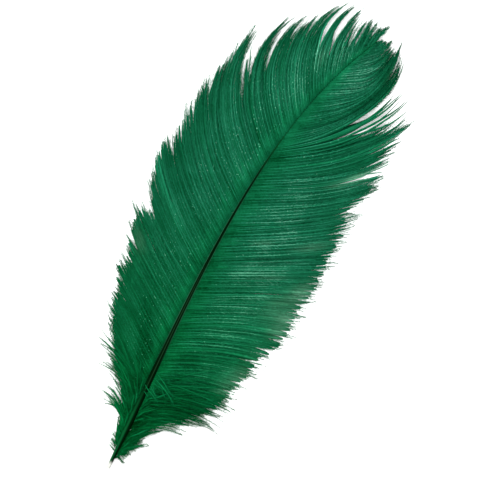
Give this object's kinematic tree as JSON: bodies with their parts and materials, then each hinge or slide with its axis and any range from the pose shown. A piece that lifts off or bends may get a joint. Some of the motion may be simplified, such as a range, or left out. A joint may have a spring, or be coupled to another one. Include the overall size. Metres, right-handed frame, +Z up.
{
  "type": "ostrich feather",
  "caption": "Dyed ostrich feather lying flat: a tapering curved shaft, hollow at its cut quill end, with a web of long soft barbs on each side and a tuft of down below each web.",
  "frame": {"origin": "on the table, under the middle of the feather's bounding box", "axes": "+Y from the cut quill end towards the tip, +X to the right seen from above, +Z up from the table"},
  "size_m": [0.1166, 0.301, 0.0065],
  "materials": {
    "quill_horn": "dyed horn, nearly black green, softly shiny",
    "web_barbs": "dyed green barbs, fine and limp, with a soft sheen along them",
    "down": "dyed green down, fluffy and matt"
  },
  "bodies": {
    "root": {"shaft": "quill_horn", "left_web": "web_barbs", "right_web": "web_barbs", "left_down": "down", "right_down": "down"}
  },
  "joints": []
}
